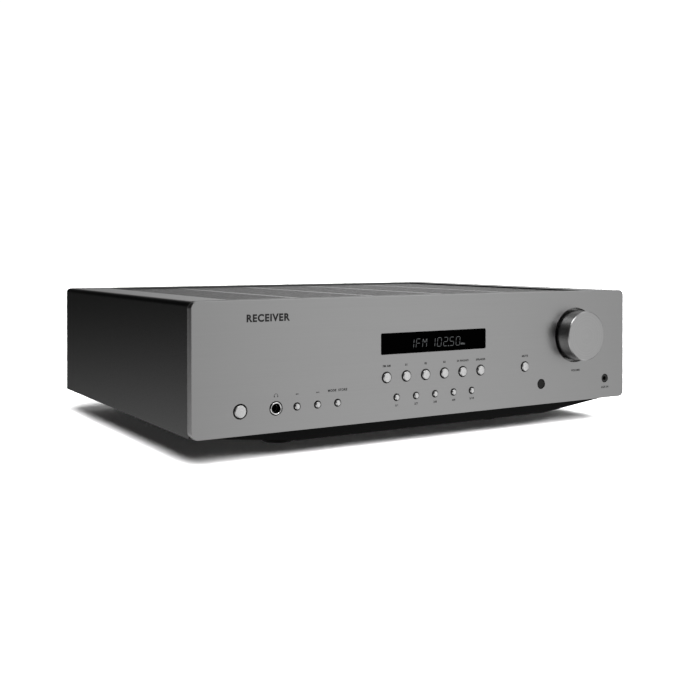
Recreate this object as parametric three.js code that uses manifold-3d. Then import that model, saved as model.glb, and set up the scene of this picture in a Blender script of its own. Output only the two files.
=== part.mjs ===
// Stereo receiver: full-width hi-fi box with an aluminium front panel, push buttons, an endless
// volume knob, a vented steel cover, a trapezoid base tray on four feet, and rear connectors.
// Millimetres, +Z up. X runs left to right as the user sees it and the front faces -Y.
// The origin is the centre of the bounding box, at the level of the floor.
import * as THREE from "three";
import { mergeVertices } from "three/addons/utils/BufferGeometryUtils.js";
import Module from "manifold-3d";

const wasm = await Module();
wasm.setup();

// ---------------------------------------------------------------- driving dimensions

const WIDTH = 430;
const HEIGHT = 120;
const DEPTH = 340;
const GAP = 0.3; // clearance between pieces that rest on each other
const SHEET = 1.2; // steel sheet thickness

const FRONT = -DEPTH / 2; // the knob's face is the foremost point
const BACK = DEPTH / 2; // the speaker terminals are the rearmost
const KNOB_PROUD = 14;

const PANEL_Y = FRONT + KNOB_PROUD; // front face of the panel
const PANEL_THICK = 5;
const PANEL_HEIGHT = 98.5;
const PANEL_Z = HEIGHT - PANEL_HEIGHT; // lower edge of the panel
const PANEL_CORNER = 5;
const SUBFRAME_Y = PANEL_Y + PANEL_THICK + GAP;
const SUBFRAME_THICK = 3.5;
const INSIDE_Y = SUBFRAME_Y + SUBFRAME_THICK + GAP; // first plane behind the sub-frame
const BOARD_Y = INSIDE_Y + 6.9; // front face of the control board
const BOARD_THICK = 1.6;
const CONTROL_BOARD = { left: -195, right: 202, low: 27, high: 112 };

// Rows of controls: heights above the panel's lower edge, centres along X.
const ROW_LOW = 17.9;
const ROW_HIGH = 34.3;
const STANDBY_X = -177;
const HEADPHONE_X = -147.9;
const SMALL_LEFT_X = -130.2;
const SMALL_LEFT_PITCH = 17.7;
const PRESET_X = -40;
const SOURCE_X = -49.5;
const BUTTON_PITCH = 19;
const MUTE_X = 94.6;
const IR_X = 113.6;
const AUX_X = 191.3;

// Cap radius, radial gap in the panel, and how far the cap stands proud.
const SMALL_CAP = { radius: 2.25, gap: 0.7, proud: 1.5 };
const MEDIUM_CAP = { radius: 3.8, gap: 0.7, proud: 1.5 };
const STANDBY_CAP = { radius: 4.7, gap: 0.9, proud: 1 };
const BUTTON_TRAVEL = 0.8;

const DISPLAY = { x: -1.9, z: 60.85, width: 105.6, height: 16.9 };

const HEADPHONE = { hole: 5.3, ring: 4.7, opening: 3.6, barrel: 4.4, bore: 3.2, half: 6.4, depth: 30 };
const AUX = { hole: 3.9, barrel: 3.6, bore: 1.8, half: 4.2, depth: 14 };
const IR_RADIUS = 4;

const KNOB = { x: 154.3, z: 59.2, radius: 22.3, face: 21.8, hole: 24.3, wall: 3.5, hub: 6.5 };
const KNOB_CHAMFER = 0.7;
const SHAFT_RADIUS = 3;
const BUSHING_RADIUS = 4.5;
const ENCODER_HALF = 6.5;

const COVER_HALF = 213.15;
const COVER_BEND = 4;
const COVER_BACK = 162;
const COVER_LIP = 14;
const VENT = { half: 180, front: PANEL_Y + 14, back: PANEL_Y + 292, drop: 1.4 };
const VENT_COLUMNS = 5;
const VENT_COLUMN_PITCH = 72;
const VENT_ROWS = 32;
const VENT_ROW_PITCH = 8.5;
const SLOT = { length: 66, width: 4.2 };

const TRAY_Z = 12; // underside of the base tray
const TRAY_HALF = 125; // half-width of its flat floor, from which it slopes up to the sides
const PAN_HALF = COVER_HALF - SHEET - 0.35;
const PAN_BACK = 159;
const PAN_FLANGE = 11.5; // height of its side flanges inside the cover
const PAN_LIP = 8.5; // height of its front lip behind the sub-frame
const REAR_Y = PAN_BACK + GAP; // inner face of the rear panel

const FOOT = { x: 108, front: -82, back: 124, radius: 14 };

const TRANSFORMER = { x: -62, y: -68, outer: 58, inner: 22, height: 50, edge: 10 };
const CLAMP = { bolt: 3, reach: 10, thick: 2, nut: 5, nutHeight: 4 };
const MAIN_BOARD = { left: 2, right: 200, front: -128, back: 104, z: 28 };
const STANDOFF = { radius: 3, inset: 8 };
const HEATSINK = { left: 22, right: 182, y: -66, plate: 4, depth: 40, height: 74, fins: 14, fin: 3.5 };
const TRANSISTOR = { first: 25, pitch: 37, width: 16, thick: 5, low: 16, high: 38 };
const CAPACITOR = { radius: 17.5, height: 50, y: 48, left: 40, right: 84 };

const RCA = { x: 62, pitch: 15, columns: 7, upper: 84, lower: 69, radius: 4.2, bore: 1.7 };
const RCA_TOWER = { width: 12, height: 28 };
const RCA_BAR = { overhang: 7, depth: 15, half: 15 };
const INPUT_BOARD = { overhang: 12, low: 38, high: 104 };
const SPEAKER = { x: -34, z: 66, width: 122, height: 68, dish: 12, pitchX: 28, pitchZ: 31 };
const TERMINAL_CAP_RADIUS = 7;
const INLET = { x: -172, z: 50, width: 27, height: 20, depth: 22 };
const SWITCH = { x: -172, z: 74, width: 15, height: 21, tilt: 8 };
const AERIAL = { x: 190, z: 77, radius: 4.7, bore: 3.7, collar: 6 };
const TUNER = { left: 18, right: 15, depth: 62, half: 22 };
const GROUND = { x: 190, z: 50, radius: 5, shank: 1.9 };

// ---------------------------------------------------------------- materials

function material(color, roughness, metalness) {
  return new THREE.MeshStandardMaterial({ color, roughness, metalness });
}

const materials = {
  brushed: material("#8e8f91", 0.42, 1),
  spun: material("#a2a3a5", 0.35, 1),
  capSatin: material("#c4c5c6", 0.4, 0.9),
  blackPlastic: material("#161616", 0.5, 0),
  greyPlastic: material("#4a4b4d", 0.55, 0),
  blackSteel: material("#232324", 0.55, 0.3),
  zincSteel: material("#9a9b9a", 0.4, 1),
  chrome: material("#d6d7d8", 0.12, 1),
  smoked: material("#050506", 0.06, 0),
  rubber: material("#101010", 0.85, 0),
  board: material("#1f4a2c", 0.5, 0),
  winding: material("#3b3324", 0.6, 0),
  aluminium: material("#8b8d90", 0.5, 1),
  capacitor: material("#1c2230", 0.4, 0),
  terminalRed: material("#8c1614", 0.35, 0),
};

// ---------------------------------------------------------------- shape helpers

// A geometry as a manifold-3d solid, and back.
function solid(geometry) {
  const bare = geometry.index ? geometry.toNonIndexed() : geometry.clone();
  bare.deleteAttribute("normal");
  bare.deleteAttribute("uv");
  const merged = mergeVertices(bare, 1e-4);
  return new wasm.Manifold(
    new wasm.Mesh({
      numProp: 3,
      vertProperties: new Float32Array(merged.attributes.position.array),
      triVerts: new Uint32Array(merged.index.array),
    }),
  );
}

function geometryOf(body) {
  const mesh = body.getMesh();
  return new THREE.BufferGeometry()
    .setAttribute("position", new THREE.BufferAttribute(mesh.vertProperties, 3))
    .setIndex(new THREE.BufferAttribute(mesh.triVerts, 1))
    .toNonIndexed();
}

function joined(geometries) {
  return geometries.map(solid).reduce((sum, next) => sum.add(next));
}

function cut(body, geometries) {
  return geometries.map(solid).reduce((rest, tool) => rest.subtract(tool), body);
}

function box(x0, x1, y0, y1, z0, z1) {
  const shape = new THREE.BoxGeometry(x1 - x0, y1 - y0, z1 - z0);
  return shape.translate((x0 + x1) / 2, (y0 + y1) / 2, (z0 + z1) / 2);
}

// Points of a circle and of a rectangle with rounded corners.
function circle(x, z, radius, segments) {
  return Array.from({ length: segments }, (_, i) => {
    const angle = (i * 2 * Math.PI) / segments;
    return new THREE.Vector2(x + radius * Math.cos(angle), z + radius * Math.sin(angle));
  });
}

function roundedRectangle(x, z, width, height, radius, steps = 4) {
  const centres = [
    [1, 1],
    [-1, 1],
    [-1, -1],
    [1, -1],
  ];
  return centres.flatMap(([sx, sz], quarter) =>
    Array.from({ length: steps + 1 }, (_, i) => {
      const angle = ((quarter + i / steps) * Math.PI) / 2;
      return new THREE.Vector2(
        x + sx * (width / 2 - radius) + radius * Math.cos(angle),
        z + sz * (height / 2 - radius) + radius * Math.sin(angle),
      );
    }),
  );
}

// A plate that faces the user: an outline in X and Z, with holes, from y0 back to y1.
function plate(outline, holes, y0, y1) {
  const shape = new THREE.Shape(outline);
  shape.holes = holes.map((points) => new THREE.Path(points));
  return new THREE.ExtrudeGeometry(shape, { depth: y1 - y0, bevelEnabled: false })
    .rotateX(Math.PI / 2)
    .translate(0, y1, 0);
}

// A turned piece whose axis runs along Y: profile points are [radius, y], front to back.
function turned(profile, x, z, segments) {
  const points = profile.map(([radius, y]) => new THREE.Vector2(radius, y));
  return new THREE.LatheGeometry(points, segments).translate(x, 0, z);
}

// A turned piece that stands upright: profile points are [radius, z], low to high.
function upright(profile, x, y, segments) {
  const points = profile.map(([radius, z]) => new THREE.Vector2(radius, z));
  return new THREE.LatheGeometry(points, segments).rotateX(Math.PI / 2).translate(x, y, 0);
}

function rod(x, z, radius, y0, y1, segments) {
  return turned([[0, y0], [radius, y0], [radius, y1], [0, y1]], x, z, segments);
}

function post(x, y, radius, z0, z1, segments) {
  return upright([[0, z0], [radius, z0], [radius, z1], [0, z1]], x, y, segments);
}

const receiver = new THREE.Group();

function add(name, geometry, look) {
  const shape = geometry.isBufferGeometry ? geometry : geometryOf(geometry);
  const mesh = new THREE.Mesh(shape, look);
  mesh.name = name;
  receiver.add(mesh);
}

// ---------------------------------------------------------------- push buttons

const SEGMENTS = 16;
const lowRow = PANEL_Z + ROW_LOW;
const highRow = PANEL_Z + ROW_HIGH;

const buttons = [
  { name: "standby_button", x: STANDBY_X, z: lowRow, cap: STANDBY_CAP },
  { name: "mute_button", x: MUTE_X, z: highRow, cap: MEDIUM_CAP },
];
["previous_button", "next_button", "mode_button"].forEach((name, i) => {
  buttons.push({ name, x: SMALL_LEFT_X + i * SMALL_LEFT_PITCH, z: lowRow, cap: SMALL_CAP });
});
for (let i = 0; i < 6; i++) {
  const x = SOURCE_X + i * BUTTON_PITCH;
  buttons.push({ name: `source_button_${i + 1}`, x, z: highRow, cap: MEDIUM_CAP });
}
for (let i = 0; i < 5; i++) {
  const x = PRESET_X + i * BUTTON_PITCH;
  buttons.push({ name: `preset_button_${i + 1}`, x, z: lowRow, cap: SMALL_CAP });
}

// A cap that passes through the panel and sub-frame, a retaining flange behind them, and a stem.
const FLANGE = 1.6; // how far the flange reaches beyond the cap
const STEM = { radius: 1.2, length: 1.6 };
const flangeBack = INSIDE_Y + 1;
const stemEnd = flangeBack + STEM.length;

function button({ x, z, cap }) {
  const face = PANEL_Y - cap.proud;
  const edge = 0.4;
  const profile = [
    [0, face],
    [cap.radius - edge, face],
    [cap.radius, face + edge],
    [cap.radius, INSIDE_Y],
    [cap.radius + FLANGE, INSIDE_Y],
    [cap.radius + FLANGE, flangeBack],
    [STEM.radius, flangeBack],
    [STEM.radius, stemEnd],
    [0, stemEnd],
  ];
  return turned(profile, x, z, cap === SMALL_CAP ? 12 : SEGMENTS);
}

for (const spec of buttons) add(spec.name, button(spec), materials.capSatin);

// ---------------------------------------------------------------- front panel and sub-frame

const middleZ = PANEL_Z + PANEL_HEIGHT / 2;
const displayZ = PANEL_Z + DISPLAY.z;
const knobZ = PANEL_Z + KNOB.z;

const capHoles = (extra, segments) =>
  buttons.map(({ x, z, cap }) => circle(x, z, cap.radius + cap.gap + extra, segments));
const displayHole = (inset) =>
  roundedRectangle(DISPLAY.x, displayZ, DISPLAY.width - inset, DISPLAY.height - inset, 1, 1);

add(
  "front_panel",
  plate(
    roundedRectangle(0, middleZ, WIDTH, PANEL_HEIGHT, PANEL_CORNER),
    [
      ...capHoles(0, SEGMENTS),
      displayHole(0),
      circle(KNOB.x, knobZ, KNOB.hole, 40),
      circle(HEADPHONE_X, lowRow, HEADPHONE.hole, SEGMENTS),
      circle(IR_X, lowRow, IR_RADIUS + GAP, SEGMENTS),
      circle(AUX_X, lowRow, AUX.hole, SEGMENTS),
    ],
    PANEL_Y,
    PANEL_Y + PANEL_THICK,
  ),
  materials.brushed,
);

add(
  "front_subframe",
  plate(
    roundedRectangle(0, middleZ, WIDTH - 1, PANEL_HEIGHT - 1, PANEL_CORNER),
    [
      ...capHoles(GAP, 10),
      displayHole(6),
      circle(KNOB.x, knobZ, BUSHING_RADIUS + GAP, SEGMENTS),
      circle(HEADPHONE_X, lowRow, HEADPHONE.barrel + GAP, SEGMENTS),
      circle(AUX_X, lowRow, AUX.barrel + GAP, SEGMENTS),
    ],
    SUBFRAME_Y,
    SUBFRAME_Y + SUBFRAME_THICK,
  ),
  materials.greyPlastic,
);

// ---------------------------------------------------------------- display, sensor and front sockets

add(
  "display_window",
  plate(displayHole(2 * GAP), [], PANEL_Y + 0.7, SUBFRAME_Y - GAP),
  materials.smoked,
);
add(
  "display_module",
  joined([
    box(DISPLAY.x - 51, DISPLAY.x + 51, INSIDE_Y, INSIDE_Y + 5, displayZ - 10, displayZ + 10),
    box(DISPLAY.x - 46, DISPLAY.x + 46, INSIDE_Y + 4.5, BOARD_Y - GAP, displayZ - 9, displayZ - 7),
  ]),
  materials.smoked,
);
add(
  "ir_window",
  rod(IR_X, lowRow, IR_RADIUS, PANEL_Y + 0.2, SUBFRAME_Y - GAP, SEGMENTS),
  materials.smoked,
);

// An open-backed socket: its bore runs right through the nose and the moulding behind it.
function jackSocket(x, { barrel, bore, half, depth }, mouth) {
  const body = joined([
    rod(x, lowRow, barrel, mouth, INSIDE_Y + 1, SEGMENTS),
    box(x - half, x + half, INSIDE_Y, INSIDE_Y + depth, lowRow - half, lowRow + half),
  ]);
  return cut(body, [rod(x, lowRow, bore, mouth - 1, INSIDE_Y + depth + 1, SEGMENTS)]);
}

add(
  "headphone_jack",
  jackSocket(HEADPHONE_X, HEADPHONE, SUBFRAME_Y),
  materials.blackPlastic,
);
add(
  "headphone_ring",
  turned(
    [
      [HEADPHONE.opening, PANEL_Y - 0.4],
      [HEADPHONE.ring, PANEL_Y - 0.4],
      [HEADPHONE.ring, SUBFRAME_Y - GAP],
      [HEADPHONE.opening, SUBFRAME_Y - GAP],
      [HEADPHONE.opening, PANEL_Y - 0.4],
    ],
    HEADPHONE_X,
    lowRow,
    SEGMENTS,
  ),
  materials.chrome,
);
add(
  "aux_jack",
  jackSocket(AUX_X, AUX, PANEL_Y + 0.5),
  materials.blackPlastic,
);

// ---------------------------------------------------------------- volume knob and encoder

const knobBack = SUBFRAME_Y - 1.2;
const hubBack = knobBack - 4;
const knobCavity = FRONT + 5;
const shaftEnd = FRONT + 7;

add(
  "volume_knob",
  turned(
    [
      [0, FRONT],
      [KNOB.face - KNOB_CHAMFER, FRONT],
      [KNOB.face, FRONT + KNOB_CHAMFER],
      [KNOB.radius, knobBack],
      [KNOB.radius - KNOB.wall, knobBack],
      [KNOB.radius - KNOB.wall, knobCavity],
      [KNOB.hub, knobCavity],
      [KNOB.hub, hubBack],
      [SHAFT_RADIUS + GAP, hubBack],
      [SHAFT_RADIUS + GAP, shaftEnd - GAP],
      [0, shaftEnd - GAP],
    ],
    KNOB.x,
    knobZ,
    40,
  ),
  materials.spun,
);
const shaftBack = INSIDE_Y + 3;
add("encoder_shaft", rod(KNOB.x, knobZ, SHAFT_RADIUS, shaftEnd, shaftBack, 20), materials.zincSteel);

// The encoder's bushing passes through the sub-frame, and its shaft turns in the bushing.
function encoder() {
  const reach = ENCODER_HALF;
  const body = joined([
    rod(KNOB.x, knobZ, BUSHING_RADIUS, SUBFRAME_Y - 0.8, INSIDE_Y + 1, SEGMENTS),
    box(KNOB.x - reach, KNOB.x + reach, INSIDE_Y, BOARD_Y - GAP, knobZ - reach, knobZ + reach),
  ]);
  return cut(body, [rod(KNOB.x, knobZ, SHAFT_RADIUS + 0.15, SUBFRAME_Y - 2, shaftBack + 0.5, 20)]);
}

add("volume_encoder", encoder(), materials.zincSteel);

// ---------------------------------------------------------------- control board with its switches

// One tactile switch stands behind each stem, clear of it by more than the travel.
function tactSwitch({ x, z }) {
  const tip = stemEnd + BUTTON_TRAVEL + GAP;
  return box(x - 3, x + 3, tip, BOARD_Y + 0.5, z - 3, z + 3);
}

// The board has a cut-out round each socket's moulding.
function controlBoard() {
  const { left, right, low, high } = CONTROL_BOARD;
  const corners = [[left, low], [right, low], [right, high], [left, high]];
  const sockets = [[HEADPHONE_X, HEADPHONE], [AUX_X, AUX]];
  return plate(
    corners.map(([x, z]) => new THREE.Vector2(x, z)),
    sockets.map(([x, { half }]) => {
      const side = 2 * (half + 2 * GAP);
      return roundedRectangle(x, lowRow, side, side, 0.5, 1);
    }),
    BOARD_Y,
    BOARD_Y + BOARD_THICK,
  );
}

add("front_board", joined([controlBoard(), ...buttons.map(tactSwitch)]), materials.board);

// ---------------------------------------------------------------- base pan

// Cross-section of the pan: side flanges, and a tray that slopes down from them to a flat floor.
const ledge = PANEL_Z;

function panSide(inset) {
  return [
    [PAN_HALF - inset, ledge + PAN_FLANGE],
    [PAN_HALF - inset, ledge + inset],
    [TRAY_HALF, TRAY_Z + inset],
  ];
}

function panOutline(inset) {
  const right = panSide(inset).map(([x, z]) => new THREE.Vector2(x, z));
  const left = panSide(inset).map(([x, z]) => new THREE.Vector2(-x, z));
  return [...right, ...left.reverse()];
}

// A wall that closes one end of the tray.
function endWall(y0, y1, height) {
  const corners = [
    [-PAN_HALF, ledge + height],
    [-PAN_HALF, ledge],
    [-TRAY_HALF, TRAY_Z],
    [TRAY_HALF, TRAY_Z],
    [PAN_HALF, ledge],
    [PAN_HALF, ledge + height],
  ];
  return plate(corners.map(([x, z]) => new THREE.Vector2(x, z)), [], y0, y1);
}

function standoffs() {
  const first = MAIN_BOARD.left + STANDOFF.inset;
  const last = TRAY_HALF - STANDOFF.inset;
  const posts = [];
  for (const x of [first, (first + last) / 2, last])
    for (const y of [MAIN_BOARD.front + STANDOFF.inset, MAIN_BOARD.back - STANDOFF.inset])
      posts.push(post(x, y, STANDOFF.radius, TRAY_Z + 0.5, MAIN_BOARD.z - GAP, 8));
  return posts;
}

function basePan() {
  const skin = [...panOutline(0), ...panOutline(SHEET).reverse()];
  return joined([
    plate(skin, [], INSIDE_Y, PAN_BACK),
    endWall(INSIDE_Y, INSIDE_Y + SHEET, PAN_LIP),
    endWall(PAN_BACK - SHEET, PAN_BACK, SHEET),
    ...standoffs(),
  ]);
}

add("base_pan", basePan(), materials.blackSteel);

for (const [side, x] of [["left", -FOOT.x], ["right", FOOT.x]])
  for (const [end, y] of [["front", FOOT.front], ["rear", FOOT.back]]) {
    const profile = [
      [0, 0],
      [FOOT.radius - 1.5, 0],
      [FOOT.radius, 1.5],
      [FOOT.radius - 1, TRAY_Z - GAP],
      [0, TRAY_Z - GAP],
    ];
    add(`foot_${end}_${side}`, upright(profile, x, y, 20), materials.rubber);
  }

// ---------------------------------------------------------------- top cover

// Outline of the folded cover: two walls and a top with bent corners.
function coverOutline(inset) {
  const half = COVER_HALF - inset;
  const top = HEIGHT - inset;
  const bend = COVER_BEND - inset;
  const bottom = PANEL_Z - (inset ? 1 : 0);
  const corner = (sign) =>
    Array.from({ length: 5 }, (_, i) => {
      const angle = (i * Math.PI) / 8;
      const x = half - bend + bend * Math.cos(angle);
      return new THREE.Vector2(sign * x, top - bend + bend * Math.sin(angle));
    });
  return [
    new THREE.Vector2(half, bottom),
    ...corner(1),
    ...corner(-1).reverse(),
    new THREE.Vector2(-half, bottom),
  ];
}

function ventSlots() {
  const slots = [];
  const firstRow = (VENT.front + VENT.back - (VENT_ROWS - 1) * VENT_ROW_PITCH) / 2;
  for (let column = 0; column < VENT_COLUMNS; column++)
    for (let row = 0; row < VENT_ROWS; row++) {
      const x = (column - (VENT_COLUMNS - 1) / 2) * VENT_COLUMN_PITCH;
      const y = firstRow + row * VENT_ROW_PITCH;
      slots.push([x, y]);
    }
  return slots.map(([x, y]) =>
    box(
      x - SLOT.length / 2,
      x + SLOT.length / 2,
      y - SLOT.width / 2,
      y + SLOT.width / 2,
      HEIGHT - 10,
      HEIGHT + 1,
    ),
  );
}

// The vent field is pressed down a little below the rest of the top.
function topCover() {
  const outer = solid(plate(coverOutline(0), [], INSIDE_Y, COVER_BACK));
  const hollow = solid(plate(coverOutline(SHEET), [], INSIDE_Y - 1, COVER_BACK - SHEET));
  const walls = box(
    -COVER_HALF + SHEET,
    COVER_HALF - SHEET,
    COVER_BACK - 5,
    COVER_BACK + 1,
    0,
    HEIGHT - COVER_LIP,
  );
  const reach = VENT.half + SHEET;
  const pressed = box(
    -reach,
    reach,
    VENT.front - SHEET,
    VENT.back + SHEET,
    HEIGHT - VENT.drop - SHEET,
    HEIGHT + 1,
  );
  const recess = box(
    -VENT.half,
    VENT.half,
    VENT.front,
    VENT.back,
    HEIGHT - VENT.drop,
    HEIGHT + 2,
  );
  const shell = outer.subtract(hollow.subtract(solid(pressed)));
  return cut(shell, [walls, recess, ...ventSlots()]);
}

add("top_cover", topCover(), materials.blackSteel);

// ---------------------------------------------------------------- power supply and amplifier

function transformer() {
  const { x, y, outer, inner, height, edge } = TRANSFORMER;
  const low = TRAY_Z + SHEET + GAP;
  const high = low + height;
  const shoulder = 0.3 * edge;
  const bottom = [
    [inner, low + edge / 2],
    [inner + edge / 2, low],
    [outer - edge, low],
    [outer - shoulder, low + shoulder],
    [outer, low + edge],
  ];
  const top = bottom.map(([radius, z]) => [radius, low + high - z]).reverse();
  return upright([...bottom, ...top, bottom[0]], x, y, 32);
}

function transformerClamp() {
  const { x, y, inner, height } = TRANSFORMER;
  const { bolt, reach, thick, nut, nutHeight } = CLAMP;
  const low = TRAY_Z + SHEET + GAP;
  const top = low + height + GAP;
  const profile = [
    [0, low],
    [bolt, low],
    [bolt, top],
    [inner + reach, top],
    [inner + reach, top + thick],
    [nut, top + thick],
    [nut, top + thick + nutHeight],
    [0, top + thick + nutHeight],
  ];
  return upright(profile, x, y, 24);
}

add("toroidal_transformer", transformer(), materials.winding);
add("transformer_clamp", transformerClamp(), materials.zincSteel);

const boardTop = MAIN_BOARD.z + BOARD_THICK;
add(
  "main_board",
  box(
    MAIN_BOARD.left,
    MAIN_BOARD.right,
    MAIN_BOARD.front,
    MAIN_BOARD.back,
    MAIN_BOARD.z,
    boardTop,
  ),
  materials.board,
);

// Comb-shaped extrusion that stands on the main board, fins to the back.
const onBoard = boardTop + GAP;

function heatsink() {
  const { left, right, y, plate: thick, depth, height, fins, fin } = HEATSINK;
  const pitch = (right - left - fin) / (fins - 1);
  const pieces = [box(left, right, y, y + thick, onBoard, onBoard + height)];
  for (let i = 0; i < fins; i++) {
    const x = left + i * pitch;
    pieces.push(box(x, x + fin, y + thick - 0.5, y + depth, onBoard, onBoard + height));
  }
  return joined(pieces);
}

add("heatsink", heatsink(), materials.aluminium);

// A plastic body against the heatsink, on a strip of leads that stands on the board.
function transistor(x) {
  const { width, thick, low, high } = TRANSISTOR;
  const back = HEATSINK.y - GAP;
  const leads = { half: width / 2 - 2, front: back - 3, back: back - 2.4 };
  return joined([
    box(x - width / 2, x + width / 2, back - thick, back, onBoard + low, onBoard + high),
    box(x - leads.half, x + leads.half, leads.front, leads.back, onBoard, onBoard + low + 1),
  ]);
}

for (let i = 0; i < 4; i++) {
  const x = HEATSINK.left + TRANSISTOR.first + i * TRANSISTOR.pitch;
  add(`output_transistor_${i + 1}`, transistor(x), materials.blackPlastic);
}

for (const side of ["left", "right"]) {
  const { radius, height, y } = CAPACITOR;
  const profile = [
    [0, onBoard],
    [radius - 0.5, onBoard],
    [radius, onBoard + 3],
    [radius, boardTop + height],
    [0, boardTop + height],
  ];
  add(`reservoir_capacitor_${side}`, upright(profile, CAPACITOR[side], y, 20), materials.capacitor);
}

// ---------------------------------------------------------------- rear panel and its connectors

const rearOuter = REAR_Y + SHEET;
const connectorFace = rearOuter + GAP;
const rcaX = Array.from({ length: RCA.columns }, (_, i) => RCA.x + i * RCA.pitch);
const rcaMiddle = (RCA.upper + RCA.lower) / 2;
const mains = { low: INLET.z - INLET.height / 2, high: SWITCH.z + SWITCH.height / 2 };
const mainsMiddle = (mains.low + mains.high) / 2;
const rearTop = HEIGHT - 1.5;

// An opening that clears a rectangular moulding all round.
function openingFor(x, z, width, height) {
  return roundedRectangle(x, z, width + 2 * GAP, height + 2 * GAP, 0.2, 1);
}

add(
  "rear_panel",
  plate(
    roundedRectangle(0, (PANEL_Z + rearTop) / 2, 2 * PAN_HALF, rearTop - PANEL_Z, 2, 2),
    [
      ...rcaX.map((x) => openingFor(x, rcaMiddle, RCA_TOWER.width, RCA_TOWER.height)),
      roundedRectangle(SPEAKER.x, SPEAKER.z, SPEAKER.width - 6, SPEAKER.height - 6, 2, 1),
      openingFor(INLET.x, mainsMiddle, INLET.width, mains.high - mains.low),
      circle(AERIAL.x, AERIAL.z, AERIAL.collar + GAP, SEGMENTS),
      circle(GROUND.x, GROUND.z, GROUND.shank + 0.5, 12),
    ],
    REAR_Y,
    rearOuter,
  ),
  materials.blackSteel,
);

// A tower for each stereo pair reaches through the rear panel and carries two phono sockets.
function lineSockets() {
  const { width, height } = RCA_TOWER;
  const { overhang, depth, half } = RCA_BAR;
  const left = RCA.x - overhang;
  const right = rcaX.at(-1) + overhang;
  const parts = [box(left, right, REAR_Y - depth, REAR_Y - GAP, rcaMiddle - half, rcaMiddle + half)];
  const bores = [];
  for (const x of rcaX) {
    const low = rcaMiddle - height / 2;
    parts.push(box(x - width / 2, x + width / 2, REAR_Y - 1, connectorFace, low, low + height));
    for (const z of [RCA.upper, RCA.lower]) {
      parts.push(rod(x, z, RCA.radius, connectorFace - 1, BACK - 1, 12));
      bores.push(rod(x, z, RCA.bore, BACK - 10, BACK, 6));
    }
  }
  return cut(joined(parts), bores);
}

add("line_sockets", lineSockets(), materials.blackPlastic);

function inputBoard() {
  const back = REAR_Y - RCA_BAR.depth - GAP;
  const { overhang, low, high } = INPUT_BOARD;
  return box(RCA.x - overhang, rcaX.at(-1) + overhang, back - BOARD_THICK, back, low, high);
}

add("input_board", inputBoard(), materials.board);

// A screened can with the aerial socket on its rear face.
function tunerModule() {
  const { x, z, radius, bore, collar } = AERIAL;
  const { left, right, depth, half } = TUNER;
  const body = joined([
    box(x - left, x + right, REAR_Y - depth, REAR_Y - GAP, z - half, z + half),
    rod(x, z, collar, REAR_Y - 1, connectorFace + 1, SEGMENTS),
    rod(x, z, radius, connectorFace, BACK - 1.5, SEGMENTS),
  ]);
  return cut(body, [rod(x, z, bore, BACK - 8, BACK, SEGMENTS)]);
}

add("tuner_module", tunerModule(), materials.zincSteel);

// Screw for the turntable's earth lead: its shank reaches through the rear panel.
function earthScrew() {
  const { x, z, radius, shank } = GROUND;
  const inner = REAR_Y - 6;
  const start = connectorFace + 1;
  const end = BACK - 2;
  const edge = 0.5;
  const profile = [
    [0, inner],
    [shank, inner],
    [shank, start],
    [radius - edge, start],
    [radius, start + edge],
    [radius, end - edge],
    [radius - edge, end],
    [0, end],
  ];
  return turned(profile, x, z, SEGMENTS);
}

add("earth_screw", earthScrew(), materials.zincSteel);

function speakerHousing() {
  const { x, z, width, height, dish } = SPEAKER;
  const flange = plate(
    roundedRectangle(x, z, width, height, 3, 2),
    [],
    connectorFace,
    connectorFace + 1.6,
  );
  const tub = box(
    x - width / 2 + 4,
    x + width / 2 - 4,
    connectorFace - dish,
    connectorFace + 0.5,
    z - height / 2 + 4,
    z + height / 2 - 4,
  );
  const pocket = box(
    x - width / 2 + 6,
    x + width / 2 - 6,
    connectorFace - dish + 2,
    connectorFace + 5,
    z - height / 2 + 6,
    z + height / 2 - 6,
  );
  return { body: cut(joined([flange, tub]), [pocket]), floor: connectorFace - dish + 2 };
}

// Each binding post has a fixed metal stud with a collar, and a cap that screws on it.
const housing = speakerHousing();
const posts = [];
["b", "a"].forEach((bank, row) => {
  ["right_plus", "right_minus", "left_minus", "left_plus"].forEach((pole, column) => {
    posts.push({
      name: `terminal_cap_${bank}_${pole}`,
      x: SPEAKER.x + (column - 1.5) * SPEAKER.pitchX,
      z: SPEAKER.z + (row - 0.5) * SPEAKER.pitchZ,
      look: pole.endsWith("plus") ? materials.terminalRed : materials.blackPlastic,
    });
  });
});

const studs = posts.flatMap(({ x, z }) => [
  rod(x, z, 6, housing.floor - 0.5, housing.floor + 2, 12),
  rod(x, z, 2.4, housing.floor - 0.5, BACK - 6, 10),
]);
add(
  "speaker_terminals",
  studs.map(solid).reduce((sum, next) => sum.add(next), housing.body),
  materials.blackPlastic,
);

for (const { name, x, z, look } of posts) {
  const start = housing.floor + 2 + 1.2;
  const bore = 2.4 + 0.25;
  const profile = [
    [bore, start],
    [TERMINAL_CAP_RADIUS - 0.8, start],
    [TERMINAL_CAP_RADIUS, start + 1],
    [TERMINAL_CAP_RADIUS, BACK - 1],
    [TERMINAL_CAP_RADIUS - 1, BACK],
    [bore, BACK],
    [bore, start],
  ];
  add(name, turned(profile, x, z, 12), look);
}

// ---------------------------------------------------------------- mains inlet and power switch

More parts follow.
